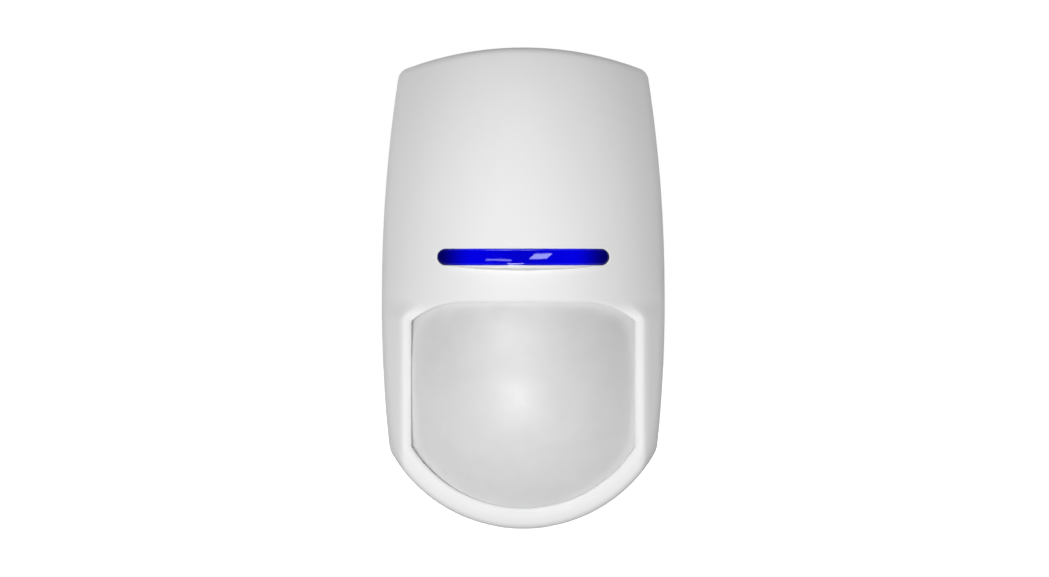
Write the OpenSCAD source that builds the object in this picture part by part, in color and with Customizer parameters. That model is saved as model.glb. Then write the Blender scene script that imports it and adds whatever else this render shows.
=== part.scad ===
// Wall-mounted passive infrared motion sensor.
// Row frame: X to the right, Z up, the room lies towards -Y and the wall is the plane Y = 0.
// The origin is on the wall, at the middle of the height. Most pieces are drawn in a facing
// frame instead: x to the right, y up the wall, z out from the wall into the room.

/* [Case] */
// Width at the widest point
body_w = 69; // [67:0.5:71]
// Height from the lowest to the highest point
body_h = 117.3; // [116:0.1:119]
// Depth from the wall to the top of the lens dome
body_d = 50; // [49:0.25:51]
// Thickness of the cover's and the housing's side walls
wall_t = 2.2; // [1.8:0.1:2.4]
// Thickness of the housing's flat back
back_t = 2; // [1.6:0.1:2.4]
// Width of the flat back between the two corner-mounting faces
back_w = 40; // [38:0.5:42]
// Distance from the wall to the joint between housing and cover
parting = 15; // [14.8:0.1:15.2]

/* [Outline] */
// Radius of the long side curves
side_r = 364; // [340:1:400]
// Height of the widest point, from the middle
side_up = -1.65; // [-3:0.05:0]
// Radius of the top curve
top_r = 84.2; // [82:0.1:88]
// Radius of the bottom curve
foot_r = 37.1; // [36.6:0.1:38]
// Radius of the two top corners
top_corner_r = 3.2; // [2.6:0.1:4]
// Radius of the two bottom corners
foot_corner_r = 6; // [4:0.5:8]

/* [Front] */
// Distance from the wall to the crown of the cover
crown = 47; // [46.5:0.1:47.4]
// Height of the crown, from the middle
crown_up = 1.35; // [0:0.05:3]
// Radius of the cover's front along its height
crown_r = 95; // [90:1:105]
// Radius of the cover's front across its width
cross_r = 42; // [41:0.5:44]

/* [Lens] */
// Half the width of the lens opening
lens_half_w = 27.2; // [26.8:0.1:27.4]
// Height of the opening's top edge, from the middle
lens_top = -3.65; // [-4:0.05:-3]
// Height of the dome's centre, from the middle
lens_up = -25.65; // [-27:0.05:-24]
// Radius of the dome along its height
dome_r = 40; // [39.75:0.25:41]
// Radius of the dome across its width
dome_cross_r = 38; // [37.75:0.25:38.5]
// Thickness of the lens
lens_t = 0.8; // [0.6:0.1:1]

/* [Rim] */
// Distance from the wall to the rim's highest line
rim_top = 41; // [40.8:0.1:41.4]
// Height of the rim's highest line, from the middle
rim_up = -35; // [-36:0.5:-34]
// Radius of the rim along its height
rim_r = 150; // [140:5:170]
// Width of the rim's flat crest beside the lens
rim_w = 2.2; // [2:0.1:2.4]
// Slope of the flank outside the rim, in degrees
flank = 47; // [45:1:49]

/* [Indicator] */
// Length of the indicator bar
bar_w = 41.8; // [38:0.1:44]
// Height of the indicator bar
bar_h = 4; // [3.6:0.1:4.6]
// Height of the bar's middle, from the middle of the case
bar_up = 7.45; // [7:0.05:8]

/* [Circuit board] */
// Width of the board
board_w = 50; // [49:0.5:50.5]
// Height of the board
board_h = 86; // [85:0.5:86]
// Thickness of the board
board_t = 1.6; // [1.2:0.1:1.6]
// Height of the pyroelectric sensor, from the middle
pyro_up = -26; // [-27:0.25:-25]

/* [Fixings] */
// Radius of the two wall screw holes
wall_hole_r = 2.1; // [1.8:0.05:2.3]
// Distance between the two wall screw holes
wall_hole_gap = 96; // [95.5:0.25:96.5]
// Height of the middle between the wall screw holes
wall_hole_mid = 2.5; // [2:0.1:3]
// Radius of the two cable entries
cable_hole_r = 3.6; // [3:0.1:3.8]
// Distance of each cable entry from the middle
cable_x = 14; // [12:0.5:15]
// Distance of the cable entries below the top edge
cable_down = 8.15; // [8:0.05:8.5]

/* [Hidden] */

$fn = 64;
fine = 360;
half_w = body_w / 2;
half_h = body_h / 2;
far_out = body_d + 5;
seam = 0.15;
lap_gap = 0.3;
lip_t = 1.2;
lip_h = 3;
// The corner rounds cross the outline's arcs by this much, rather than just touching them
corner_ease = 0.02;
side_x = side_r - half_w;
top_c = half_h - top_r;
foot_c = foot_r - half_h;

// Lens opening
lens_corner_r = 18.4;
lens_corner_x = 15.2;
lens_foot_r = 32.1;
lens_flange = 1.5;
seat_w = 1.8;
seat_fit = 0.05;
dome_core = dome_r - dome_cross_r;
dome_axis = body_d - dome_r;
reach = 37;
crest_x = lens_half_w + rim_w;

// Crescent under the indicator
brow_half = 17.5;
brow_h = 1.1;
brow_rise = 1.6;
brow_r = 32.6;
brow_sweep_r = 150;

// Release notch in the bottom edge
notch_w = 7.3;
notch_h = 1.8;
notch_tilt = 32;
notch_out = rim_top - rim_r + sqrt(pow(rim_r, 2) - pow(half_h - notch_h + rim_up, 2));

// Hinge along the top edge
hinge_up = half_h - 1.9;
bead_r = 1.8;
groove_r = 2.1;
bead_half = 17.3;
trunnion_r = 0.9;
hinge_fit = 0.05;
lug_near = 7.8;
lug_far = 9.8;
lug_gap = 0.3;
trunnion_len = 2.2;

// Thin spots for corner fixings
knockout_up = 28;
knockout_r = 2.4;
knockout_skin = 0.6;

// Lock screw under the bottom edge
lock_out = parting + 3.5;
lock_r = 1.5;
lock_head_r = 2.9;
lock_pad_top = -half_h + 4.45;
lock_seat = -half_h + 2.65;
lock_washer_t = 0.5;
lock_pad_half = 5;
lock_pad_depth = 8;
lock_pad_gap = 0.4;
lock_turn_gap = 0.2;
tongue_half = 4.5;
tongue_t = 4.8;
tongue_low = lock_pad_top + lock_pad_gap;
tongue_high = tongue_low + tongue_t;

// Board and its fixings
board_back = 10.4;
board_top = board_back + board_t;
board_low = -40.5;
board_high = board_low + board_h;
screw_posts = [[-21.5, -35.5], [21.5, -35.5]];
pin_posts = [[-22.3, 33.5], [22.3, 33.5]];
post_r = 2.6;
post_pin_r = 1.3;
post_bore_r = 1.25;
post_bore_deep = 6;
screw_hole_r = 1.6;
lead_r = 0.3;
lead_hole_r = 0.45;
lead_tail = board_t + 1.4;
drill = 4;

// Places on the board
way_pitch = 5;
ways = [for (i = [0:7]) (i - 3.5) * way_pitch];
block_up = 41;
block_l = 9;
block_h = 10;
tamper_at = [-17.5, 27];
tamper_body_h = 6;
plunger_r = 1.7;
plunger_top = 12;
plunger_cap_r = 2.7;
plunger_cap_t = 1.2;
tamper_body_w = 8;
tamper_post_r = 2.2;
spring_r = 2.2;
spring_wire_r = 0.22;
spring_pitch = 0.84;
spring_turns = 5;
led_spots = [[-6.5, bar_up], [6.5, bar_up]];
led_pitch = 1.27;
led_r = 1.5;
led_h = 3.6;
led_foot = 0.2;
relay_at = [14.5, 25.5];
relay_size = [11, 17, 10.5];
// each capacitor: x, up, radius, height
capacitors = [[-7, 20.5, 4, 10.5], [20.5, 11, 2.5, 7], [-21, 14.5, 2.5, 7], [20.5, 2.5, 2.5, 7]];
header_spots = [[19.5, -11], [19.5, -23]];
pin_pitch = 2.54;
header_h = 2.5;
header_pin_w = 0.64;
header_pin_h = 8;
shunt_h = 6;
mcu_at = [-13, -4];
mcu_size = [12.8, 7.5, 2.3];
amp_at = [-18.5, -25];
amp_size = [3.9, 8.7, 1.5];
crystal_at = [5.5, -5];
diode_at = [-2, 32.8];
regulator_at = [3, 26];
pyro_pin_r = 2.54;
pyro_rise = 3;
pyro_standoff_r = 4.3;
pyro_flange_r = 4.6;
pyro_flange_t = 0.6;
pyro_r = 4.1;
pyro_h = 4;
pyro_wall = 0.3;
shroud_h = 8.5;
shroud_foot_r = 7;
shroud_mouth_r = 10;
shroud_t = 1;

through_leads = concat(
    [for (a = [0, 90, 180]) [pyro_pin_r * cos(a), pyro_up + pyro_pin_r * sin(a)]],
    [for (p = led_spots, s = [-1, 1]) [p[0] + s * led_pitch, p[1]]],
    [for (s = [-1, 1], v = [-6, 6]) relay_at + [s * 4, v]],
    [for (c = capacitors, s = [-1, 1]) [c[0] + s * c[2] / 2, c[1]]],
    [for (s = [-1, 1], v = [-1, 1]) tamper_at + [s * 3.2, v * 2.5]],
    [for (s = [-1, 1]) diode_at + [s * 5, 0]],
    [for (s = [-1, 1]) crystal_at + [s * 2.44, 0]]
);
header_pin_spots = [for (p = header_spots, i = [-1:1]) p + [0, i * pin_pitch]];

// ---- Helpers ----

// Draws in the facing frame: x right, y up the wall, z out from the wall.
module facing() rotate([90, 0, 0]) children();

// A prism between two distances from the wall.
module slab(from, to) translate([0, 0, from]) linear_extrude(to - from) children();

// A prism across the width, turned about a horizontal axis at the given height and depth.
module bar_along_x(up, out, from, to, r)
    translate([from, up, out]) rotate([0, 90, 0]) cylinder(h = to - from, r = r);

module bar_between(up, out, a, b, r) bar_along_x(up, out, min(a, b), max(a, b), r);

// A solid of revolution about a horizontal axis: the profile is (radius, x).
module wheel(up, out)
    translate([0, up, out]) rotate([0, 90, 0]) rotate_extrude($fn = fine) children();

// A piece on the board's front: z = 0 is the board's face.
module on_board(at) facing() translate([at[0], at[1], board_top]) children();

module block(size) translate([-size[0] / 2, -size[1] / 2, 0]) cube(size);

// Where two circles cross, on the side given by sign.
function crossing(c1, r1, c2, r2, sign) =
    let (gap = c2 - c1, d = norm(gap), a = (r1 * r1 - r2 * r2 + d * d) / (2 * d))
    c1 + a * gap / d + sign * sqrt(r1 * r1 - a * a) * [-gap[1], gap[0]] / d;

function unit(v) = v / norm(v);

// Rounds the corner where two outline arcs of centres c1 and c2 meet. A deep inset leaves it sharp.
module corner_cut(c1, r1, c2, r2, sign, r, inset) if (r > inset) {
    centre = crossing(c1, r1 - r, c2, r2 - r, sign);
    u1 = unit(centre - c1) * 2 * r;
    u2 = unit(centre - c2) * 2 * r;
    difference() {
        polygon([centre, centre + u1, centre + u1 + u2, centre + u2]);
        translate(centre) circle(r - inset + corner_ease);
    }
}

// The case seen from the front, moved inwards by inset.
module outline(inset = 0) difference() {
    intersection() {
        translate([-side_x, side_up]) circle(side_r - inset, $fn = fine);
        translate([side_x, side_up]) circle(side_r - inset, $fn = fine);
        translate([0, top_c]) circle(top_r - inset, $fn = fine);
        translate([0, foot_c]) union() {
            circle(foot_r - inset, $fn = fine);
            translate([-body_w, 0]) square([2 * body_w, body_h]);
        }
    }
    for (s = [-1, 1]) {
        corner_cut([-s * side_x, side_up], side_r, [0, top_c], top_r, s, top_corner_r, inset);
        corner_cut([-s * side_x, side_up], side_r, [0, foot_c], foot_r, -s, foot_corner_r, inset);
    }
}

// The part of the back between the wall and the two 45 degree faces.
module rear_wedge(inset, back) {
    near = back_w / 2 + back - inset * sqrt(2);
    far = near + far_out;
    linear_extrude(2 * body_h, center = true)
        polygon([[-near, -back], [near, -back], [far, -back - far_out], [-far, -back - far_out]]);
}

// ---- Front surfaces, as wheels about horizontal axes ----

module arc_profile(core, r) {
    translate([0, -reach]) square([core, 2 * reach]);
    intersection() {
        translate([core, 0]) circle(r, $fn = fine);
        translate([core, -reach]) square([r, 2 * reach]);
    }
}

module pillow(inset)
    wheel(crown_up, crown - crown_r) arc_profile(crown_r - cross_r, cross_r - inset);

module dome(inset) wheel(lens_up, dome_axis) arc_profile(dome_core, dome_cross_r - inset);

// The rim is flat across its crest and slopes away beside it. An inset moves both inwards.
module rim(inset) {
    rho = rim_r - inset;
    x = crest_x - inset * tan(flank / 2);
    end = rho - (reach - x) * tan(flank);
    wheel(rim_up, rim_top - rim_r)
        polygon([[0, -reach], [end, -reach], [rho, -x], [rho, x], [end, reach], [0, reach]]);
}

// The hollow inside the cover. Its ceiling comes down to the lens all round the opening.
module cover_hollow() {
    difference() {
        union() {
            pillow(wall_t);
            rim(wall_t);
        }
        slab(parting, far_out) lens_opening(seat_w);
    }
    intersection() {
        dome(-seat_fit);
        slab(parting - 2, far_out) lens_opening(seat_w);
    }
}

// The lens opening, moved outwards by grow.
module lens_opening(grow = 0) {
    corner_up = lens_top - lens_corner_r;
    wide = lens_half_w + grow;
    intersection() {
        translate([-wide, -half_h]) square([2 * wide, lens_top + grow + half_h]);
        translate([0, foot_c]) union() {
            circle(lens_foot_r + grow, $fn = fine);
            translate([-half_w, 0]) square([body_w, body_h]);
        }
        union() {
            for (s = [-1, 1]) translate([s * lens_corner_x, corner_up]) circle(lens_corner_r + grow);
            translate([-lens_corner_x, corner_up]) square([2 * lens_corner_x, lens_corner_r + grow]);
            translate([-half_w, -half_h]) square([body_w, corner_up + half_h]);
        }
    }
}

// The indicator's rounded slot, moved outwards by grow.
module bar_slot(grow = 0) {
    r = bar_h / 2;
    straight = bar_w / 2 - r;
    translate([0, bar_up]) {
        for (s = [-1, 1]) translate([s * straight, 0]) circle(r + grow);
        translate([-straight, -r - grow]) square([2 * straight, bar_h + 2 * grow]);
    }
}

// ---- Rear housing ----

module rear_housing() color("whitesmoke") difference() {
    union() {
        difference() {
            intersection() {
                facing() slab(0, parting) outline();
                rear_wedge(0, 0);
            }
            intersection() {
                facing() slab(back_t, far_out) outline(wall_t);
                rear_wedge(wall_t, back_t);
            }
        }
        housing_lip();
        board_posts();
        facing() lock_tongue();
        facing() hinge_groove_lugs();
    }
    facing() hinge_groove_cut();
    facing() {
        for (s = [-1, 1]) translate([0, wall_hole_mid + s * wall_hole_gap / 2, -1])
            cylinder(h = back_t + 2, r = wall_hole_r);
        for (s = [-1, 1]) translate([s * cable_x, half_h - cable_down, -1])
            cylinder(h = back_t + 2, r = cable_hole_r);
        for (p = screw_posts) translate([p[0], p[1], board_back - post_bore_deep])
            cylinder(h = post_bore_deep + 1, r = post_bore_r);
        translate([0, tongue_low - 1, lock_out]) rotate([-90, 0, 0])
            cylinder(h = tongue_t + 3, r = lock_r + hinge_fit);
        lock_room = lock_pad_half + lock_pad_gap;
        translate([-lock_room, -half_h, parting]) cube([2 * lock_room, tongue_low + half_h, lip_h + 1]);
    }
    for (s = [-1, 1], up = [-knockout_up, knockout_up]) corner_knockout(s, up);
}

// A low wall that the cover laps over, inside the joint. It is lower in the top corners.
module housing_lip() intersection() {
    facing() {
        slab(parting - 3, parting) difference() {
            outline(wall_t - 0.4);
            outline(wall_t + lap_gap + lip_t);
        }
        intersection() {
            slab(parting - 0.5, parting + lip_h) difference() {
                outline(wall_t + lap_gap);
                outline(wall_t + lap_gap + lip_t);
            }
            pillow(wall_t + lap_gap);
        }
    }
    rear_wedge(0, 0);
}

module board_posts() intersection() {
    facing() {
        for (p = concat(screw_posts, pin_posts))
            translate([p[0], p[1], 1]) cylinder(h = board_back - 1, r = post_r);
        for (p = pin_posts) translate([p[0], p[1], 1]) cylinder(h = board_top, r = post_pin_r);
    }
    rear_wedge(1, 1);
}

// Carries the lock screw's thread, in front of the joint and inside the cover.
module lock_tongue() {
    translate([-tongue_half, tongue_low, parting - 4]) cube([2 * tongue_half, tongue_t, 12]);
    translate([-tongue_half, -half_h + 1, parting - 4]) cube([2 * tongue_half, tongue_high + half_h - 1, 3.6]);
}

// Two lugs with trunnions that the cover's bead turns on.
module hinge_groove_lugs() for (s = [-1, 1]) intersection() {
    union() {
        bar_between(hinge_up, parting, s * lug_near, s * lug_far, bead_r - hinge_fit);
        translate([s * (lug_near + lug_far) / 2 - 1, hinge_up - bead_r, parting - 4.5]) cube([2, 3.2, 4.5]);
        bar_between(hinge_up, parting, s * lug_near, s * (lug_near - trunnion_len), trunnion_r);
    }
    slab(0, far_out) outline();
}

// The round groove that the cover's bead lies in, cut everywhere but at the lugs and trunnions.
module hinge_groove_cut() difference() {
    bar_along_x(hinge_up, parting, -bead_half - lap_gap, bead_half + lap_gap, groove_r);
    hinge_groove_lugs();
}

// A thin spot in a 45 degree face, drilled from inside and broken out for a corner fixing.
module corner_knockout(s, up) {
    mid = (back_w / 2 + half_w) / 2;
    translate([s * mid, -(mid - back_w / 2), up]) rotate([0, 0, -s * 45]) rotate([90, 0, 0])
        translate([0, 0, knockout_skin]) cylinder(h = 3, r = knockout_r);
}

// ---- Cover ----

module cover_shell() color("white") facing() difference() {
    union() {
        difference() {
            intersection() {
                slab(parting + seam, far_out) outline();
                union() {
                    pillow(0);
                    rim(0);
                }
            }
            intersection() {
                slab(parting - 1, far_out) outline(wall_t);
                cover_hollow();
            }
        }
        cover_bead();
        lock_pad();
        tamper_post();
        brow();
    }
    slab(parting, far_out) lens_opening();
    slab(parting, far_out) bar_slot();
    hinge_sockets();
    lock_slot();
    release_notch();
}

module cover_bead() intersection() {
    bar_along_x(hinge_up, parting, -bead_half, bead_half, bead_r);
    slab(0, far_out) outline();
}

module hinge_sockets() for (s = [-1, 1]) {
    near = lug_near - lug_gap;
    far = lug_far + lug_gap;
    deep = near - trunnion_len - lug_gap;
    bar_between(hinge_up, parting, s * near, s * far, groove_r + hinge_fit);
    bar_between(hinge_up, parting, s * near, s * deep, trunnion_r + hinge_fit);
}

// The thick pad that the lock screw clamps.
module lock_pad() intersection() {
    slab(parting + seam, parting + lock_pad_depth) outline();
    translate([-lock_pad_half, -half_h, parting])
        cube([2 * lock_pad_half, lock_pad_top + half_h, lock_pad_depth]);
}

// Slots open to the rear, so the cover swings off a loosened screw.
module lock_slot() {
    rear_slot(lock_r + lock_turn_gap, half_h + lock_pad_top + 2);
    rear_slot(lock_head_r + lug_gap, half_h + lock_seat + 1);
}

module rear_slot(r, high) translate([0, -half_h - 1, lock_out]) {
    rotate([-90, 0, 0]) cylinder(h = high, r = r);
    translate([-r, 0, -4]) cube([2 * r, high, 4]);
}

// The post that holds the tamper switch's plunger down while the cover is shut.
module tamper_post() intersection() {
    translate([tamper_at[0], tamper_at[1], board_top + plunger_top + 0.05]) cylinder(h = far_out, r = tamper_post_r);
    pillow(1);
}

// The raised crescent under the indicator: its lower edge is an arc, and it stands out most in the middle.
module brow() {
    low = bar_up - bar_h / 2 - brow_h;
    difference() {
        intersection() {
            translate([0, bar_up, crown + brow_rise - brow_r]) rotate([90, 0, 0])
                cylinder(h = bar_h + 2 * brow_h, r = brow_r, $fn = fine);
            slab(crown - 5, far_out) intersection() {
                translate([-brow_half, low]) square([2 * brow_half, brow_h + 0.05]);
                translate([0, low + brow_sweep_r]) circle(brow_sweep_r, $fn = fine);
            }
        }
        pillow(wall_t / 2);
    }
}

// The shallow bevel in the bottom edge where a thumb or a blade lifts the cover.
module release_notch() translate([-notch_w / 2, -half_h + notch_h, notch_out]) rotate([notch_tilt, 0, 0])
    translate([0, -5, 0]) cube([notch_w, 5, 4]);

module fresnel_lens() color([0.93, 0.94, 0.95]) facing() intersection() {
    slab(parting + 5, far_out) lens_opening(lens_flange);
    difference() {
        dome(0);
        dome(lens_t);
    }
}

module lens_frame() color("gainsboro") facing() intersection() {
    slab(parting + 5, far_out) difference() {
        lens_opening(lens_flange);
        lens_opening(-1);
    }
    difference() {
        dome(lens_t + 0.05);
        dome(lens_t + 1.6);
    }
}

module light_bar() color([0.02, 0.04, 0.75]) facing() {
    intersection() {
        slab(parting + 5, far_out) bar_slot(-0.1);
        difference() {
            pillow(0.3);
            pillow(wall_t + 1.2);
        }
    }
    intersection() {
        slab(parting + 5, far_out) bar_slot(1.2);
        difference() {
            pillow(wall_t + 0.05);
            pillow(wall_t + 1.2);
        }
    }
}

// ---- Circuit board ----

module board_outline() {
    cut = 3;
    x = board_w / 2;
    polygon([
        [-x + cut, board_low], [x - cut, board_low], [x, board_low + cut], [x, board_high - cut],
        [x - cut, board_high], [-x + cut, board_high], [-x, board_high - cut], [-x, board_low + cut],
    ]);
}

module circuit_board() color("darkgreen") facing() difference() {
    slab(board_back, board_top) board_outline();
    for (p = through_leads) translate([p[0], p[1], board_back - 1]) cylinder(h = drill, r = lead_hole_r);
    for (x = ways) translate([x, block_up, board_back - 1]) cylinder(h = drill, r = 0.65);
    for (p = header_pin_spots) translate([p[0], p[1], board_back - 1]) cylinder(h = drill, r = 0.55);
    for (p = screw_posts) translate([p[0], p[1], board_back - 1]) cylinder(h = drill, r = screw_hole_r);
    for (p = pin_posts) translate([p[0], p[1], board_back - 1]) cylinder(h = drill, r = post_pin_r + 0.1);
}

module board_screws() color("silver") for (p = screw_posts) on_board(p) difference() {
    union() {
        cylinder(h = 1.6, r = 2.5);
        translate([0, 0, -6.6]) cylinder(h = 6.6, r = 1.2);
    }
    translate([0, 0, 0.7]) cross_recess(2.6, 0.5);
}

module cross_recess(length, width) for (turn = [0, 90]) rotate(turn)
    translate([-length / 2, -width / 2, 0]) cube([length, width, 2]);

// Straight wires through the board, from a height over its face down to their tails.
module lead(at, top, r = lead_r) on_board(at) translate([0, 0, -lead_tail])
    cylinder(h = lead_tail + top, r = r, $fn = 16);

// ---- Pyroelectric sensor ----

module pyro_standoff() color("white") on_board([0, pyro_up]) difference() {
    cylinder(h = pyro_rise, r = pyro_standoff_r);
    for (a = [0, 90, 180]) translate([pyro_pin_r * cos(a), pyro_pin_r * sin(a), -1])
        cylinder(h = pyro_rise + 2, r = lead_hole_r);
}

module pyro_can() color("silver") on_board([0, pyro_up]) translate([0, 0, pyro_rise]) difference() {
    union() {
        cylinder(h = pyro_flange_t, r = pyro_flange_r);
        cylinder(h = pyro_h, r = pyro_r);
    }
    translate([0, 0, 2 * pyro_flange_t]) cylinder(h = 2.3, r = pyro_r - pyro_wall);
    translate([-2.3, -1.8, 3]) cube([4.6, 3.6, 2]);
}

module pyro_window() color([0.16, 0.15, 0.2]) on_board([0, pyro_up]) translate([-2.25, -1.75, 6.4])
    cube([4.5, 3.5, 0.55]);

module pyro_leads() color("goldenrod") for (i = [0:2]) lead(through_leads[i], pyro_rise);

// A funnel that keeps insects and stray light away from the sensor.
module pyro_shroud() color("dimgray") on_board([0, pyro_up]) difference() {
    cylinder(h = shroud_h, r1 = shroud_foot_r, r2 = shroud_mouth_r, $fn = 96);
    translate([0, 0, -0.01])
        cylinder(h = shroud_h + 0.02, r1 = shroud_foot_r - shroud_t, r2 = shroud_mouth_r - shroud_t, $fn = 96);
}

// ---- Terminal block ----

module terminal_block() color("seagreen") on_board([0, block_up]) difference() {
    block([8 * way_pitch + 1, block_l, block_h]);
    for (x = ways) {
        translate([x - 1.9, -1.5, 1.2]) cube([3.8, 7, 5.2]);
        translate([x, 1, 5]) cylinder(h = 7, r = 1.75);
    }
}

module terminal_clamps() color("silver") for (x = ways) on_board([x, block_up]) difference() {
    translate([-1.8, -1.4, 1.3]) cube([3.6, 4.8, 4.9]);
    translate([-1.1, -2, 2]) cube([2.2, 7, 2.6]);
    translate([0, 1, 4]) cylinder(h = 4, r = 1.25);
}

module terminal_screws() color("silver") for (x = ways) on_board([x, block_up]) translate([0, 1, 0])
    difference() {
        union() {
            translate([0, 0, 6.5]) cylinder(h = 2.8, r = 1.65);
            translate([0, 0, 4.6]) cylinder(h = 2, r = 1.15);
        }
        translate([-2, -0.25, 8.6]) cube([4, 0.5, 2]);
    }

module terminal_pins() color("silver") for (x = ways) lead([x, block_up], 0, 0.5);

// ---- Tamper switch ----

module tamper_switch_body() color("black") on_board(tamper_at) difference() {
    block([tamper_body_w, tamper_body_w, tamper_body_h]);
    translate([0, 0, 1]) cylinder(h = tamper_body_h, r = plunger_r + hinge_fit);
}

module tamper_switch_legs() color("silver") for (s = [-1, 1], v = [-1, 1])
    lead(tamper_at + [s * 3.2, v * 2.5], 0);

module tamper_plunger() color("ivory") on_board(tamper_at) {
    translate([0, 0, 1.8]) cylinder(h = plunger_top - 1.9, r = plunger_r);
    translate([0, 0, plunger_top - plunger_cap_t]) cylinder(h = plunger_cap_t, r = plunger_cap_r);
}

// A helix swept by a small polygon: its rings follow the wire.
function coil_point(r, wire_r, pitch, turn, side) = [
    (r + wire_r * cos(side)) * cos(turn), (r + wire_r * cos(side)) * sin(turn),
    pitch * turn / 360 + wire_r * sin(side)];

module coil(r, wire_r, pitch, turns) {
    sides = 8;
    steps = 20;
    rings = turns * steps;
    points = [for (i = [0:rings], j = [0:sides - 1])
        coil_point(r, wire_r, pitch, i * 360 / steps, -j * 360 / sides)];
    skin = [for (i = [0:rings - 1], j = [0:sides - 1])
        [i * sides + j, (i + 1) * sides + j, (i + 1) * sides + (j + 1) % sides, i * sides + (j + 1) % sides]];
    ends = [[for (j = [0:sides - 1]) j], [for (j = [sides - 1:-1:0]) rings * sides + j]];
    polyhedron(points, concat(skin, ends));
}

module tamper_spring() color("silver") on_board(tamper_at)
    translate([0, 0, tamper_body_h + 0.3]) coil(spring_r, spring_wire_r, spring_pitch, spring_turns);

// ---- Indicator and other components ----

module status_leds() color([0.75, 0.85, 1]) for (p = led_spots) on_board(p) {
    translate([0, 0, led_foot]) cylinder(h = 0.8, r = led_r + 0.4);
    translate([0, 0, led_foot]) cylinder(h = led_h - led_foot, r = led_r);
    translate([0, 0, led_h]) sphere(r = led_r);
}

module led_leads() color("silver") for (p = led_spots, s = [-1, 1]) lead(p + [s * led_pitch, 0], led_foot);

// A flat clear blade that fans the light out behind the indicator bar.
module light_guide() color([0.85, 0.95, 1, 0.6]) {
    low = 17.8;
    foot = 9;
    tip = bar_w / 2 - 2;
    intersection() {
        facing() slab(low, far_out) translate([-half_w, bar_up - 1.2]) square([body_w, 2.4]);
        facing() pillow(wall_t + 2.4);
        translate([0, 0, bar_up]) linear_extrude(6, center = true)
            polygon([[-foot - 2, -low], [foot + 2, -low], [tip, -crown], [-tip, -crown]]);
    }
    for (s = [-1, 1]) facing() translate([s * (foot + 0.5) - 1, bar_up - 1.2, board_top]) cube([2, 2.4, 6.5]);
}

module alarm_relay() color("black") on_board(relay_at) block(relay_size);

module relay_pins() color("silver") for (s = [-1, 1], v = [-6, 6]) lead(relay_at + [s * 4, v], 0);

module electrolytic_capacitors() color("midnightblue") for (c = capacitors) on_board([c[0], c[1]])
    difference() {
        translate([0, 0, 0.4]) cylinder(h = c[3] - 0.4, r = c[2]);
        translate([0, 0, 1.4]) rotate_extrude() translate([c[2] + 0.25, 0]) circle(0.5, $fn = 24);
        translate([0, 0, c[3] - 0.25]) cross_recess(c[2] * 1.3, 0.25);
    }

module capacitor_leads() color("silver") for (c = capacitors, s = [-1, 1])
    lead([c[0] + s * c[2] / 2, c[1]], 0.4);

module chip_capacitors() color("tan") {
    for (i = [0:4]) on_board([-3.5 + i * 3.4, -11.6]) block([1.25, 2, 1.2]);
    for (i = [0:3]) on_board([-23, -12.5 - i * 3.2]) block([2, 1.25, 1.2]);
    for (i = [0:2]) on_board([4.5, 19.5 - i * 3]) block([2, 1.25, 1.2]);
}

module chip_resistors() color("black") {
    for (i = [0:8]) on_board([-12 + i * 3, -38.4]) block([1.25, 2, 0.55]);
    for (i = [0:5]) on_board([-13.3, -13.5 - i * 3.4]) block([2, 1.25, 0.55]);
    for (i = [0:3]) on_board([14, -10 - i * 4]) block([2, 1.25, 0.55]);
    for (i = [0:3]) on_board([-22.8, 8 - i * 3]) block([2, 1.25, 0.55]);
}

module microcontroller() color([0.12, 0.12, 0.13]) on_board(mcu_at) translate([0, 0, 0.1]) difference() {
    block(mcu_size);
    translate([-mcu_size[0] / 2 + 1.2, -mcu_size[1] / 2 + 1.2, mcu_size[2] - 0.15]) cylinder(h = 1, r = 0.5);
}

module amplifier_chip() color([0.12, 0.12, 0.13]) on_board(amp_at) translate([0, 0, 0.1]) difference() {
    block(amp_size);
    translate([-amp_size[0] / 2 + 0.9, amp_size[1] / 2 - 0.9, amp_size[2] - 0.15]) cylinder(h = 1, r = 0.4);
}

// One gull-wing leg, leaving the chip's side towards +y.
module gull_leg() {
    translate([-0.2, 0, 0.7]) cube([0.4, 0.6, 0.2]);
    translate([-0.2, 0.4, 0]) cube([0.4, 0.2, 0.9]);
    translate([-0.2, 0.4, 0]) cube([0.4, 0.9, 0.2]);
}

module chip_leads() color("silver") {
    for (i = [0:9], s = [-1, 1]) on_board(mcu_at + [(i - 4.5) * 1.27, s * mcu_size[1] / 2])
        rotate(s > 0 ? 0 : 180) gull_leg();
    for (i = [0:6], s = [-1, 1]) on_board(amp_at + [s * amp_size[0] / 2, (i - 3) * 1.27])
        rotate(s > 0 ? -90 : 90) gull_leg();
}

module voltage_regulator() color([0.12, 0.12, 0.13]) on_board(regulator_at) {
    block([4.5, 2.5, 1.5]);
    for (i = [-1:1]) translate([i * 1.5, -1.6, 0]) block([0.5, 1, 0.4]);
    translate([0, 1.5, 0]) block([1.8, 1, 0.4]);
}

module protection_diode() color([0.15, 0.15, 0.16]) {
    on_board(diode_at) translate([-2.6, 0, 1.6]) rotate([0, 90, 0]) cylinder(h = 5.2, r = 1.35);
    on_board(diode_at) translate([-5, 0, 1.6]) rotate([0, 90, 0]) cylinder(h = 10, r = lead_r);
    for (s = [-1, 1]) lead(diode_at + [s * 5, 0], 1.6);
}

module crystal_can() color("silver") {
    on_board(crystal_at) for (s = [-1, 1]) translate([s * 3.1, 0, 0]) cylinder(h = 3.5, r = 2.1);
    on_board(crystal_at) block([6.2, 4.2, 3.5]);
    on_board(crystal_at) for (s = [-1, 1]) translate([s * 3.1, 0, 0]) cylinder(h = 0.5, r = 2.4);
    on_board(crystal_at) block([6.2, 4.8, 0.5]);
    for (s = [-1, 1]) lead(crystal_at + [s * 2.44, 0], 0.2);
}

// ---- Jumpers ----

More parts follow.
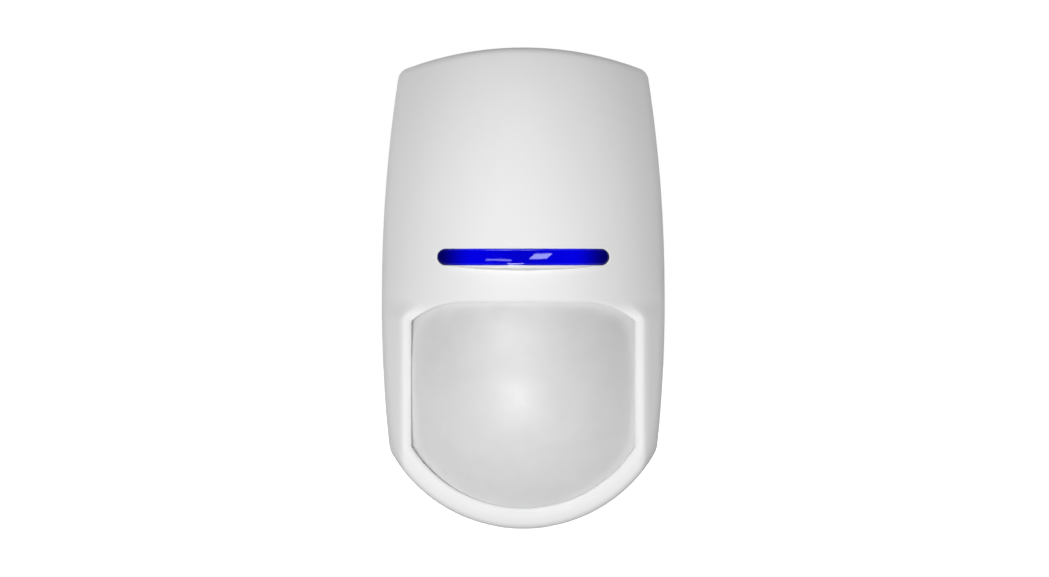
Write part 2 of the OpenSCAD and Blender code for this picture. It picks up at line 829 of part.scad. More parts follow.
module jumper_headers() color([0.1, 0.1, 0.1]) for (p = header_spots) on_board(p) difference() {
    block([2.5, 3 * pin_pitch, header_h]);
    for (i = [-1:1]) translate([-0.35, i * pin_pitch - 0.35, -1]) cube([0.7, 0.7, 5]);
}

module jumper_pins() color("gold") for (p = header_pin_spots) on_board(p)
    translate([-header_pin_w / 2, -header_pin_w / 2, -lead_tail])
        cube([header_pin_w, header_pin_w, lead_tail + header_pin_h]);

module jumper_shunt(p, tone) color(tone) on_board(p + [0, pin_pitch / 2]) translate([0, 0, header_h + 0.1])
    difference() {
        block([2.4, 5, shunt_h]);
        for (s = [-1, 1]) translate([-0.4, s * pin_pitch / 2 - 0.4, -1]) cube([0.8, 0.8, 7.5]);
    }

module jumper_shunt_led() jumper_shunt(header_spots[0], "red");
module jumper_shunt_pulse() jumper_shunt(header_spots[1], "blue");

// ---- Cover lock ----

module lock_washer() color("silver") facing() translate([0, lock_seat - lock_washer_t, lock_out])
    rotate([-90, 0, 0]) difference() {
        cylinder(h = lock_washer_t - 0.02, r = lock_head_r);
        translate([0, 0, -1]) cylinder(h = 3, r = lock_r + hinge_fit);
    }

module cover_lock_screw() color("silver") facing() translate([0, -half_h + 0.15, lock_out])
    rotate([-90, 0, 0]) difference() {
        union() {
            cylinder(h = lock_seat + half_h - 0.17 - lock_washer_t, r = lock_head_r);
            cylinder(h = tongue_high + half_h + 1, r = lock_r);
        }
        translate([0, 0, -0.9]) cross_recess(3.4, 0.6);
    }

rear_housing();
cover_shell();
fresnel_lens();
lens_frame();
light_bar();
circuit_board();
board_screws();
pyro_standoff();
pyro_can();
pyro_window();
pyro_leads();
pyro_shroud();
terminal_block();
terminal_clamps();
terminal_screws();
terminal_pins();
tamper_switch_body();
tamper_switch_legs();
tamper_spring();
tamper_plunger();
status_leds();
led_leads();
light_guide();
alarm_relay();
relay_pins();
electrolytic_capacitors();
capacitor_leads();
chip_capacitors();
chip_resistors();
microcontroller();
amplifier_chip();
chip_leads();
voltage_regulator();
protection_diode();
crystal_can();
jumper_headers();
jumper_pins();
jumper_shunt_led();
jumper_shunt_pulse();
lock_washer();
cover_lock_screw();
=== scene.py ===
import math

import bmesh
import bpy
import numpy as np
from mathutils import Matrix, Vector
from mathutils.geometry import delaunay_2d_cdt

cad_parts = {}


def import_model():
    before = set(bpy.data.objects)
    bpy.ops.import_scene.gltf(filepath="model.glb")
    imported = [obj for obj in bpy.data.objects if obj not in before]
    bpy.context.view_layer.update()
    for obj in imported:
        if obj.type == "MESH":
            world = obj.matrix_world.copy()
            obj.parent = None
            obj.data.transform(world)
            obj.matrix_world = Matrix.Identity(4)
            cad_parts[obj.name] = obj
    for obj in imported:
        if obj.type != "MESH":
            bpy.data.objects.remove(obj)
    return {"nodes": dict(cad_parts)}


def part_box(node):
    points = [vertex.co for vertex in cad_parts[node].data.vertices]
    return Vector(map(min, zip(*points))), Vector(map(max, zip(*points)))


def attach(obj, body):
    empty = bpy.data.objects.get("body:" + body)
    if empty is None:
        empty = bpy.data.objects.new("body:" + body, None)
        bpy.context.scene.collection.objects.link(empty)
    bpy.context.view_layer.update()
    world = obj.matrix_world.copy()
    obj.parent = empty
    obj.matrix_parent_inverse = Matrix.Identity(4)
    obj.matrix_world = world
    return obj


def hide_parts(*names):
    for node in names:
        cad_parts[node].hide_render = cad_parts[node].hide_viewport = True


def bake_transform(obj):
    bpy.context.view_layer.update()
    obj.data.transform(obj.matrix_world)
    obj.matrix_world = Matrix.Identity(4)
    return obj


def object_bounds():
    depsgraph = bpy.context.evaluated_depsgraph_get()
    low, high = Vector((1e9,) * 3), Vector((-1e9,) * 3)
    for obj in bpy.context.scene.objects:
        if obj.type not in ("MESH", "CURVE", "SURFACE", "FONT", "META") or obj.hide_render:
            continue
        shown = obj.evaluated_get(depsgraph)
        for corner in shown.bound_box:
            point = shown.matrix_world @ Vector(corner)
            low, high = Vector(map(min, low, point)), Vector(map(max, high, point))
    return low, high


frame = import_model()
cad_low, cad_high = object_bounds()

# The wall-mounted motion sensor's looks. Shapes are worked out in millimetres as (x, up, out):
# x to the right, up the wall, and out from the wall into the room. MM turns them into metres.
MM = 0.001
NODES = frame["nodes"]


def span(node):
    """A CAD node's lowest and highest (x, up, out), in millimetres."""
    low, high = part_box(node)
    return (np.array([low.x, low.z, -high.y]) / MM, np.array([high.x, high.z, -low.y]) / MM)


# ---- Driving sizes in millimetres, the same as the CAD part's where it has them ----

# The case: half its width and height, the joint's distance from the wall and its gap, the walls
HALF_W = span("cover_shell")[1][0]
HALF_H = span("cover_shell")[1][1]
PARTING = 15.0
SEAM = 0.15
WALL = 2.2

# The outline's side, top and foot curves, and the corners between them
SIDE_R = 364.0
SIDE_UP = -1.65
TOP_R = 84.2
TOP_CORNER_R = 3.2
FOOT_R = 37.1
FOOT_CORNER_R = 6.0
FOOT_UP = FOOT_R - HALF_H

# The crowned front: its highest point and its radii along the height and across the width
CROWN = 47.0
CROWN_UP = 1.35
CROWN_R = 95.0
CROSS_R = 42.0

# The lens opening: straight top and sides, two large upper corners and a foot curve
LENS_HALF_W = 27.2
LENS_TOP = -3.65
LENS_CORNER_R = 18.4
LENS_CORNER_X = 15.2
LENS_FOOT_R = 32.1
LENS_JOINT_R = 0.7

# The lens: a dome with a flange behind the cover, on a seat with a small gap
DOME_OUT = span("fresnel_lens")[1][2]
LENS_UP = -25.65
DOME_R = 40.0
DOME_CROSS_R = 38.0
LENS_T = 0.8
LENS_FLANGE = 1.5
SEAT_W = 1.8
SEAT_FIT = 0.05

# The raised rim: its crest, the slope outside it and the gentler slope below the lens
RIM_TOP = 41.0
RIM_UP = -35.0
RIM_R = 150.0
RIM_W = 2.2
FLANK = math.radians(47)
FLANK_START = RIM_W + 0.15
FLANK_BEND = 0.75
FOOT_TILT = math.radians(15)
FOOT_CREST = 2.6
FOOT_BEND = 0.8
RIM_CREASE = 2.4
INNER_CREASE = 0.8

# The indicator bar
BAR_FLANGE = 1.2
BAR_LOW, BAR_HIGH = span("light_bar")
BAR_W, BAR_H = (BAR_HIGH - BAR_LOW)[:2] - 2 * BAR_FLANGE
BAR_UP = (BAR_LOW[1] + BAR_HIGH[1]) / 2
BAR_R = BAR_H / 2
BAR_FLAT = BAR_W / 2 - BAR_R

# The crescent under the bar. BROW_START is how far below the bar it starts to fall back to the
# crown, and BROW_FALL is the height over which it does; the first of each pair is at the
# crescent's tips, the second at its middle. Above, it fades in over BROW_ROOT inside the slot.
BROW_HALF = 17.5
BROW_RISE = 1.6
BROW_R = 32.6
BROW_START = (0.2, 0.7)
BROW_FALL = (0.1, 0.6)
BROW_ROOT = 1.5

# The circuit board's two faces
BOARD_TOP = span("circuit_board")[1][2]
BOARD_BACK = span("circuit_board")[0][2]

# The hinge: a bead along the top edge, with two grooves for the lugs and their trunnions
HINGE_UP = HALF_H - 1.9
BEAD_R = 1.8
BEAD_HALF = 17.3
BEAD_MARGIN = 0.15
GROOVE_R = 2.15
LUG_NEAR = 7.8
LUG_FAR = 9.8
LUG_GAP = 0.3
TRUNNION_HOLE_R = 0.95
TRUNNION_LEN = 2.2

# The lock screw's pad inside the bottom edge, and the slots for its shaft and head
PAD_HALF = 5.0
PAD_DEPTH = 7.8
PAD_LOW = 0.9 - HALF_H
PAD_TOP = 4.45 - HALF_H
LOCK_OUT = 18.5
LOCK_SLOT_R = 1.7
HEAD_SLOT_R = 3.2
HEAD_SEAT = 2.65 - HALF_H

# The release notch in the bottom edge
NOTCH_W = 7.3
NOTCH_H = 1.8
NOTCH_TILT = math.radians(32)
NOTCH_BLOCK = (5.0, 4.0)

# Rounded edges: the cover's outer edge, the lens opening's, the bar slot's and the bar's own
EDGE_R = 1.4
LENS_EDGE_R = 1.25
LENS_EDGE_START = math.radians(38)
SLOT_EDGE_R = 0.3
BAR_EDGE_R = 0.3
LOWER_CHAMFER = 0.3


# ---- Curves in the plane of the wall ----

def crossing(a, b, near):
    """The point nearest to near where circles a and b cross; a circle is (x, up, radius)."""
    start = np.array(a[:2])
    gap = np.array(b[:2]) - start
    length = np.linalg.norm(gap)
    along = (a[2] ** 2 - b[2] ** 2 + length ** 2) / (2 * length)
    across = math.sqrt(max(a[2] ** 2 - along ** 2, 0))
    ahead = gap / length
    side = np.array([-ahead[1], ahead[0]])
    found = [start + ahead * along + sign * across * side for sign in (1, -1)]
    return min(found, key=lambda point: np.linalg.norm(point - np.array(near)))


def right_arcs(circles, joints):
    """Arcs (centre, radius, start, end) down a closed curve's right side, top to bottom.
    joints gives, for each pair of circles, a point near their crossing and the corner's radius."""
    arcs = []
    start = math.pi / 2
    for i, (x, up, r) in enumerate(circles):
        if i == len(joints):
            arcs.append(((x, up), r, start, -math.pi / 2))
            break
        near, corner_r = joints[i]
        nx, nup, nr = circles[i + 1]
        corner = crossing((x, up, r - corner_r), (nx, nup, nr - corner_r), near)
        end = math.atan2(corner[1] - up, corner[0] - x)
        after = math.atan2(corner[1] - nup, corner[0] - nx)
        arcs.append(((x, up), r, start, end))
        if corner_r:
            arcs.append((tuple(corner), corner_r, end, after))
        start = after
    return arcs


class Curve:
    """A closed convex curve of arcs, symmetric about x = 0, that can be drawn larger or smaller.
    step is the distance between its points."""

    MOST_TURN = math.radians(10)  # between two neighbouring points of a tight corner

    def __init__(self, arcs, step):
        rows = []
        for (x, up), r, start, end in arcs:
            turn = abs(end - start)
            count = max(1, math.ceil(r * turn / step), math.ceil(turn / self.MOST_TURN))
            for i in range(count):
                angle = start + (end - start) * i / count
                rows.append((x, up, r, math.cos(angle), math.sin(angle)))
        (x, up), r, _, end = arcs[-1]
        rows.append((x, up, r, math.cos(end), math.sin(end)))
        right = np.array(rows)
        left = right[1:-1] * [-1, 1, 1, -1, 1]
        loop = np.vstack([right[0], left, right[-1], right[-2:0:-1]])
        self.centre, self.radius, self.normal = loop[:, :2], loop[:, 2:3], loop[:, 3:5]

    def points(self, grow=0.0):
        return self.centre + (self.radius + grow) * self.normal


FLAT = 1e5  # a radius so large that its arc is a straight line
case_curve = Curve(right_arcs(
    [(0, HALF_H - TOP_R, TOP_R), (HALF_W - SIDE_R, SIDE_UP, SIDE_R), (0, FOOT_UP, FOOT_R)],
    [((HALF_W, HALF_H), TOP_CORNER_R), ((HALF_W, -HALF_H), FOOT_CORNER_R)]), step=0.8)
lens_curve = Curve(right_arcs(
    [(0, LENS_TOP - FLAT, FLAT), (LENS_CORNER_X, LENS_TOP - LENS_CORNER_R, LENS_CORNER_R),
     (LENS_HALF_W - FLAT, 0, FLAT), (0, FOOT_UP, LENS_FOOT_R)],
    [((LENS_CORNER_X, LENS_TOP), 0), ((LENS_HALF_W, LENS_TOP), LENS_JOINT_R),
     ((LENS_HALF_W, -HALF_H), LENS_JOINT_R)]), step=0.6)
bar_curve = Curve(right_arcs(
    [(0, BAR_UP + BAR_R - FLAT, FLAT), (BAR_FLAT, BAR_UP, BAR_R), (0, BAR_UP - BAR_R + FLAT, FLAT)],
    [((BAR_FLAT, BAR_UP + BAR_R), 0), ((BAR_FLAT, BAR_UP - BAR_R), 0)]), step=0.5)
LENS_EDGE = lens_curve.points()


def distance_to(points, loop):
    """Distance of each point to a closed loop of points."""
    best = np.full(len(points), 1e9)
    for a, b in zip(loop, np.roll(loop, -1, axis=0)):
        edge = b - a
        t = np.clip((points - a) @ edge / (edge @ edge), 0, 1)
        best = np.minimum(best, np.linalg.norm(points - a - t[:, None] * edge, axis=1))
    return best


def inside(points, loop):
    """Whether each point lies inside a closed loop of points."""
    found = np.zeros(len(points), bool)
    x, y = points[:, 0], points[:, 1]
    for a, b in zip(loop, np.roll(loop, -1, axis=0)):
        if a[1] == b[1]:
            continue
        spans = (a[1] > y) != (b[1] > y)
        found ^= spans & (x < (b[0] - a[0]) * (y - a[1]) / (b[1] - a[1]) + a[0])
    return found


def between(points, loops):
    """Whether each point lies inside the first loop and outside the others."""
    keep = inside(points, loops[0])
    for loop in loops[1:]:
        keep &= ~inside(points, loop)
    return keep


# ---- Front and inner surfaces: distance from the wall at (x, up) ----

def root(value):
    """The square root, and 0 for a negative value."""
    return np.sqrt(np.maximum(value, 0))


def soft_max(a, b, k):
    """The larger of a and b, with the crease between them filled over a width of about k."""
    share = np.maximum(k - np.abs(a - b), 0) / k
    return np.maximum(a, b) + share ** 2 * k / 4


def soft_ramp(t, k):
    """0 below -k, t above k, and a smooth bend between."""
    return np.where(np.abs(t) < k, (t + k) ** 2 / (4 * k), np.maximum(t, 0))


def pillow(x, up, inset=0.0):
    """The crowned front of the cover, or a surface inset below it."""
    rho = CROWN_R - CROSS_R + root((CROSS_R - inset) ** 2 - x ** 2)
    return CROWN - CROWN_R + root(rho ** 2 - (up - CROWN_UP) ** 2)


def dome(x, up, inset=0.0):
    """The lens's outer face, or a surface inset below it."""
    rho = DOME_R - DOME_CROSS_R + root((DOME_CROSS_R - inset) ** 2 - x ** 2)
    return DOME_OUT - DOME_R + root(rho ** 2 - (up - LENS_UP) ** 2)


def rim_crest(up, inset=0.0):
    """The highest line of the raised rim."""
    return RIM_TOP - RIM_R + root((RIM_R - inset) ** 2 - (up - RIM_UP) ** 2)


def rim(x, up, beside):
    """The raised rim. beside is the distance outside the lens opening."""
    foot = np.hypot(x, up - FOOT_UP) - LENS_FOOT_R
    low = up < FOOT_UP
    side = np.where(low, np.abs(x) - LENS_HALF_W, beside)
    drop = math.tan(FLANK) * soft_ramp(side - FLANK_START, FLANK_BEND)
    drop += np.where(low, math.tan(FOOT_TILT) * soft_ramp(foot - FOOT_CREST, FOOT_BEND), 0)
    return rim_crest(up) - drop


def brow(x, up):
    """How far the crescent under the indicator stands out over the crown."""
    reach = np.clip(1 - (x / BROW_HALF) ** 2, 0, 1)
    arc = CROWN + BROW_RISE - BROW_R + root(BROW_R ** 2 - x ** 2)
    rise = np.maximum(arc - pillow(x, np.full_like(x, BAR_UP)), 0)
    below = BAR_UP - BAR_R - up
    start, fall = (tip + (middle - tip) * reach for tip, middle in (BROW_START, BROW_FALL))
    fade = np.clip((below - start) / fall, 0, 1)
    above = np.clip(1 + below / BROW_ROOT, 0, 1)
    return rise * (1 - fade) * above


def front(points):
    """The cover's outer face: crown, rim and crescent."""
    x, up = points[:, 0], points[:, 1]
    beside = distance_to(points, LENS_EDGE)
    return soft_max(pillow(x, up), rim(x, up, beside), RIM_CREASE) + brow(x, up)


def hollow(points):
    """The cover's inner face."""
    x, up = points[:, 0], points[:, 1]
    crest = RIM_W + LENS_HALF_W - WALL * math.tan(FLANK / 2)
    flank = rim_crest(up, WALL) - math.tan(FLANK) * np.maximum(np.abs(x) - crest, 0)
    return soft_max(pillow(x, up, WALL), flank, INNER_CREASE)


# ---- Meshes ----

def raw_mesh(name, rows, faces):
    """A mesh in metres from points (x, up, out) in millimetres."""
    made = bpy.data.meshes.new(name)
    made.from_pydata([(x * MM, -out * MM, up * MM) for x, up, out in rows], [], faces)
    return made


def finish_mesh(name, made, materials, sharp=40):
    """An object from a closed mesh, with its faces turned outwards. It is smooth, except where faces
    meet at more than sharp degrees."""
    work = bmesh.new()
    work.from_mesh(made)
    bmesh.ops.recalc_face_normals(work, faces=work.faces)
    work.to_mesh(made)
    work.free()
    smooth(made, sharp)
    for material in materials:
        made.materials.append(material)
    piece = bpy.data.objects.new(name, made)
    bpy.context.scene.collection.objects.link(piece)
    return piece


def smooth(made, sharp):
    """Smooth shading, except where faces meet at more than sharp degrees."""
    made.polygons.foreach_set("use_smooth", [True] * len(made.polygons))
    made.set_sharp_from_angle(angle=math.radians(sharp))


def tube(name, loops, material=None):
    """A closed tube through loops of points (x, up, out), with as many points in each loop."""
    count = len(loops[0])
    rows = [point for loop in loops for point in loop]
    faces = [tuple(range(count)), tuple(range(len(rows) - 1, len(rows) - count - 1, -1))]
    for first in range(0, len(rows) - count, count):
        for i in range(count):
            j = (i + 1) % count
            faces.append((first + i, first + j, first + count + j, first + count + i))
    return finish_mesh(name, raw_mesh(name, rows, faces), [material] if material else [])


class Shell:
    """Collects rings of points and the faces between them."""

    EDGE_GAP = 0.55  # how near a fill's points come to its edges, in spacings

    def __init__(self):
        self.points, self.faces, self.tones = [], [], []

    def ring(self, flat, out):
        """Points over the flat outline, at one distance from the wall or one for each."""
        first = len(self.points)
        self.points += [(x, up, d) for (x, up), d in zip(flat, np.broadcast_to(out, len(flat)))]
        return list(range(first, len(self.points)))

    def rings(self, rows):
        """Joins each ring to the next."""
        for a, b in zip(rows, rows[1:]):
            for i in range(len(a)):
                j = (i + 1) % len(a)
                self.faces.append((a[i], a[j], b[j], b[i]))
                self.tones.append(0)

    def fill(self, outer, holes, spacing, height, tone=0):
        """Triangles between an outer ring and some holes, with points at that spacing. height is a
        function of the points, and tone the number of the material."""
        loops = [np.array([self.points[i][:2] for i in ring]) for ring in [outer, *holes]]
        low, high = loops[0].min(0), loops[0].max(0)
        rows = np.arange(low[1], high[1], spacing * math.sqrt(0.75))
        grid = np.array([(x + (k % 2) * spacing / 2, up) for k, up in enumerate(rows)
                         for x in np.arange(low[0], high[0], spacing)])
        grid = grid[between(grid, loops)]
        for loop in loops:
            grid = grid[distance_to(grid, loop) > spacing * self.EDGE_GAP]
        ids = [i for ring in [outer, *holes] for i in ring]
        ids += self.ring(grid, height(grid))
        flat = np.vstack([*loops, grid])
        edges, start = [], 0
        for loop in loops:
            count = len(loop)
            edges += [(start + i, start + (i + 1) % count) for i in range(count)]
            start += count
        _, _, faces, sources, _, _ = delaunay_2d_cdt([Vector(p) for p in flat], edges, [], 0, 1e-7)
        faces = np.array([[sources[i][0] for i in face] for face in faces])
        for face in faces[between(flat[faces].mean(1), loops)]:
            self.faces.append(tuple(ids[i] for i in face))
            self.tones.append(tone)

    def build(self, name, materials):
        made = raw_mesh(name, self.points, self.faces)
        made.polygons.foreach_set("material_index", self.tones)
        return finish_mesh(name, made, materials)


# ---- Materials ----

class Look:
    """A Principled material whose colour, roughness and relief come from noise at real scales."""

    NOISE_LOW = 0.3  # most of a noise's values lie between these two
    NOISE_HIGH = 0.7

    def __init__(self, name):
        self.material = bpy.data.materials.new(name)
        self.material.use_nodes = True
        self.tree = self.material.node_tree
        self.shader = self.tree.nodes["Principled BSDF"]
        self.place = self.node("ShaderNodeTexCoord").outputs["Object"]

    def node(self, kind, **values):
        made = self.tree.nodes.new(kind)
        for name, value in values.items():
            if name in made.inputs:
                made.inputs[name].default_value = value
            else:
                setattr(made, name, value)
        return made

    def link(self, source, target):
        self.tree.links.new(source, target)

    def sized(self, grain_mm, stretch=(1, 1, 1)):
        """The place scaled so that one unit is grain_mm long."""
        scaled = self.node("ShaderNodeVectorMath", operation="MULTIPLY")
        self.link(self.place, scaled.inputs[0])
        scaled.inputs[1].default_value = [s / (grain_mm * MM) for s in stretch]
        return scaled.outputs[0]

    def noise(self, grain_mm, detail=3.0, stretch=(1, 1, 1)):
        """Noise with spots about grain_mm across, finer along an axis whose stretch is above 1."""
        made = self.node("ShaderNodeTexNoise", Scale=1.0, Detail=detail, Roughness=0.55)
        self.link(self.sized(grain_mm, stretch), made.inputs["Vector"])
        return made.outputs["Fac"]

    def spread(self, value, low, high):
        """The value's middle part stretched to run from low to high."""
        made = self.node("ShaderNodeMapRange")
        made.inputs["From Min"].default_value = self.NOISE_LOW
        made.inputs["From Max"].default_value = self.NOISE_HIGH
        made.inputs["To Min"].default_value = low
        made.inputs["To Max"].default_value = high
        self.link(value, made.inputs["Value"])
        return made.outputs["Result"]

    def blend(self, factor, a, b):
        made = self.node("ShaderNodeMix", data_type="RGBA")
        self.link(factor, made.inputs["Factor"])
        for socket, tone in ((made.inputs[6], a), (made.inputs[7], b)):
            if isinstance(tone, tuple):
                socket.default_value = (*tone, 1)
            else:
                self.link(tone, socket)
        return made.outputs[2]

    def relief(self, value, depth_mm, strength=1.0, under=None):
        """A normal from a height value, laid over the normal under it where there is one."""
        made = self.node("ShaderNodeBump", Strength=strength, Distance=depth_mm * MM)
        self.link(value, made.inputs["Height"])
        if under is not None:
            self.link(under, made.inputs["Normal"])
        return made.outputs["Normal"]

    def finish(self, colour, roughness, normal, **constants):
        self.link(colour, self.shader.inputs["Base Color"])
        self.link(roughness, self.shader.inputs["Roughness"])
        self.link(normal, self.shader.inputs["Normal"])
        for name, value in constants.items():
            self.shader.inputs[name.replace("_", " ")].default_value = value
        return self.material


def moulded(name, tone, deep, rough=0.45, grain=0.35, depth=0.006, **constants):
    """Moulded plastic: a fine spark-eroded grain, faint flow marks and uneven gloss."""
    look = Look(name)
    flow = look.spread(look.noise(grain_mm=14, detail=4, stretch=(1, 1, 0.4)), 0, 1)
    grains = look.noise(grain, detail=2)
    gloss = look.spread(look.noise(grain_mm=6), rough - 0.05, rough + 0.05)
    waves = look.relief(look.noise(grain_mm=9, detail=1), depth_mm=0.02, strength=0.5)
    normal = look.relief(grains, depth, under=waves)
    return look.finish(look.blend(flow, tone, deep), gloss, normal, **constants)


def metal(name, tone, deep, rough=0.3, stretch=(1, 1, 1), grain=0.12, depth=0.001):
    """Bare or plated metal, brushed along an axis where stretch says so, with dull patches."""
    look = Look(name)
    patches = look.spread(look.noise(grain_mm=1.6, detail=4), 0, 1)
    lines = look.noise(grain, stretch=stretch)
    gloss = look.spread(look.noise(grain_mm=0.8), rough - 0.04, rough + 0.12)
    return look.finish(look.blend(patches, tone, deep), gloss, look.relief(lines, depth), Metallic=1.0)


def cover_plastic(name):
    return moulded(name, (0.86, 0.86, 0.862), (0.845, 0.845, 0.848), rough=0.6, grain=0.3,
                   depth=0.004, Specular_IOR_Level=0.4)


def lens_film(name):
    """The lens's outer face: milky, satin polyethylene."""
    look = Look(name)
    cloud = look.spread(look.noise(grain_mm=5, detail=4), 0, 1)
    colour = look.blend(cloud, (0.73, 0.73, 0.735), (0.70, 0.70, 0.706))
    rough = look.spread(look.noise(grain_mm=1.5), 0.43, 0.5)
    waves = look.relief(look.noise(grain_mm=7, detail=1), depth_mm=0.03, strength=0.4)
    normal = look.relief(look.noise(grain_mm=0.5, detail=2), depth_mm=0.003, under=waves)
    return look.finish(colour, rough, normal, Specular_IOR_Level=0.5)


def lens_grooves(name):
    """The lens's inner face: rings of fine prisms round the middle of each of a grid of cells."""
    look = Look(name)
    cell = look.node("ShaderNodeTexVoronoi", Scale=1.0, Randomness=0.25)
    look.link(look.sized(9), cell.inputs["Vector"])
    rings = look.node("ShaderNodeMath", operation="MULTIPLY")
    rings.inputs[1].default_value = 30.0
    look.link(cell.outputs["Distance"], rings.inputs[0])
    saw = look.node("ShaderNodeMath", operation="FRACT")
    look.link(rings.outputs[0], saw.inputs[0])
    cloud = look.spread(look.noise(grain_mm=5, detail=4), 0, 1)
    colour = look.blend(cloud, (0.78, 0.78, 0.79), (0.72, 0.72, 0.735))
    rough = look.spread(look.noise(grain_mm=1.5), 0.3, 0.4)
    return look.finish(colour, rough, look.relief(saw.outputs[0], depth_mm=0.08))


PAINTED_GLOW_FADE = 9.0  # how far from each end of the bar its painted glow fades and its colour is painted darker as shade
PAINTED_GLOW_PEAK_X = 12.5  # how far from the middle the painted glow is brightest, where a light behind the bar would stand; no light stands there


def bar_blue(name):
    """Clear blue acrylic with a painted glow in its emission, as if lit from behind by two lights,
    brightest in front of each; glow and colour are painted darker towards the ends as shade.
    """
    look = Look(name)
    across = look.node("ShaderNodeSeparateXYZ")
    look.link(look.place, across.inputs[0])
    away = look.node("ShaderNodeMath", operation="ABSOLUTE")
    look.link(across.outputs["X"], away.inputs[0])
    # painted glow and painted shade: 1 along the bar, fading to 0 at each end
    painted_glow = look.node("ShaderNodeMapRange", interpolation_type="SMOOTHSTEP")
    painted_glow.inputs["From Min"].default_value = BAR_W / 2 * MM
    painted_glow.inputs["From Max"].default_value = (BAR_W / 2 - PAINTED_GLOW_FADE) * MM
    look.link(away.outputs[0], painted_glow.inputs["Value"])
    # painted glow: dimmer in the middle, brightest at the two spots where lights behind the bar would
    # stand
    middle = look.node("ShaderNodeMapRange", interpolation_type="SMOOTHSTEP")
    middle.inputs["From Max"].default_value = PAINTED_GLOW_PEAK_X * MM
    look.link(away.outputs[0], middle.inputs["Value"])
    # painted shade: the base colour is darker towards the ends
    colour = look.blend(painted_glow.outputs["Result"], (0.0, 0.0, 0.05), (0.0, 0.0, 0.3))
    behind = look.blend(middle.outputs["Result"], (0.001, 0.0005, 0.33), (0.001, 0.0005, 0.5))
    lit = look.blend(painted_glow.outputs["Result"], (0.001, 0.0005, 0.045), behind)
    # the emission is painted light; there is no lamp behind the bar
    look.link(lit, look.shader.inputs["Emission Color"])
    rough = look.spread(look.noise(grain_mm=2), 0.02, 0.035)
    normal = look.relief(look.noise(grain_mm=3, detail=2), depth_mm=0.004, strength=0.5)
    return look.finish(colour, rough, normal, Emission_Strength=1.0, Specular_IOR_Level=0.5)


def board_laminate(name):
    """Green solder mask over a faint glass weave."""
    look = Look(name)
    weave = look.node("ShaderNodeTexWave", Scale=1.0, Distortion=0.6)
    look.link(look.sized(1.1), weave.inputs["Vector"])
    patches = look.spread(look.noise(grain_mm=3, detail=5), 0, 1)
    colour = look.blend(patches, (0.005, 0.075, 0.02), (0.009, 0.105, 0.03))
    rough = look.spread(look.noise(grain_mm=1.2), 0.38, 0.5)
    normal = look.relief(weave.outputs["Fac"], depth_mm=0.006)
    return look.finish(colour, rough, normal)


# Two tones of each plain plastic and metal, then its roughness and what else differs
PLASTICS = {
    "housing_plastic": ((0.80, 0.80, 0.79), (0.76, 0.76, 0.75), 0.5, {"grain": 0.5, "depth": 0.008}),
    "frame_plastic": ((0.70, 0.70, 0.69), (0.65, 0.65, 0.64), 0.5, {}),
    "white_plastic": ((0.78, 0.77, 0.74), (0.72, 0.71, 0.68), 0.45, {}),
    "grey_plastic": ((0.11, 0.11, 0.115), (0.085, 0.085, 0.09), 0.55, {}),
    "black_plastic": ((0.02, 0.02, 0.021), (0.014, 0.014, 0.015), 0.42, {}),
    "terminal_plastic": ((0.03, 0.24, 0.09), (0.02, 0.19, 0.07), 0.42, {}),
    "relay_plastic": ((0.022, 0.022, 0.024), (0.015, 0.015, 0.017), 0.32, {}),
    "chip_black": ((0.024, 0.024, 0.026), (0.017, 0.017, 0.019), 0.6, {"grain": 0.12, "depth": 0.004}),
    "chip_ceramic": ((0.42, 0.31, 0.19), (0.34, 0.24, 0.14), 0.5, {"grain": 0.1}),
    "capacitor_sleeve": ((0.015, 0.022, 0.08), (0.01, 0.015, 0.055), 0.25, {"grain": 0.8}),
    "filter_window": ((0.045, 0.035, 0.07), (0.02, 0.018, 0.035), 0.12, {"grain": 0.9, "depth": 0.001}),
    "led_lens": ((0.62, 0.70, 0.90), (0.55, 0.64, 0.86), 0.12, {"grain": 0.9, "depth": 0.001}),
    "clear_acrylic": ((0.78, 0.86, 0.92), (0.72, 0.81, 0.88), 0.1,
                      {"grain": 0.9, "depth": 0.001, "Transmission_Weight": 0.6, "IOR": 1.49}),
    "shunt_red": ((0.50, 0.015, 0.012), (0.40, 0.01, 0.01), 0.4, {}),
    "shunt_blue": ((0.01, 0.06, 0.42), (0.01, 0.04, 0.33), 0.4, {}),
}
METALS = {
    "zinc_steel": ((0.70, 0.71, 0.70), (0.56, 0.57, 0.60), 0.32, {}),
    "can_steel": ((0.74, 0.73, 0.70), (0.62, 0.61, 0.58), 0.24, {"stretch": (1, 1, 0.15)}),
    "spring_steel": ((0.55, 0.55, 0.56), (0.42, 0.42, 0.44), 0.28, {}),
    "solder_tin": ((0.72, 0.73, 0.74), (0.58, 0.59, 0.61), 0.35, {"grain": 0.3}),
    "gold_plate": ((0.95, 0.70, 0.27), (0.85, 0.58, 0.20), 0.22, {}),
}
SPECIAL = {"cover_plastic": cover_plastic, "lens_film": lens_film, "bar_blue": bar_blue,
           "board_laminate": board_laminate}


def make_looks():
    made = {name: make(name + "_look") for name, make in SPECIAL.items()}
    for kind, table in ((moulded, PLASTICS), (metal, METALS)):
        for name, (tone, deep, rough, extra) in table.items():
            made[name] = kind(name + "_look", tone, deep, rough, **extra)
    return made


looks = make_looks()


# ---- Pieces ----

def boolean(piece, operation, cutter):
    """Adds or cuts a closed shape, and removes it afterwards."""
    change = piece.modifiers.new(operation, "BOOLEAN")
    change.operation, change.solver, change.object = operation, "MANIFOLD", cutter
    graph = bpy.context.evaluated_depsgraph_get()
    graph.update()
    result = bpy.data.meshes.new_from_object(piece.evaluated_get(graph))
    piece.modifiers.remove(change)
    old = piece.data
    piece.data = result
    bpy.data.meshes.remove(old)
    bpy.data.objects.remove(cutter)


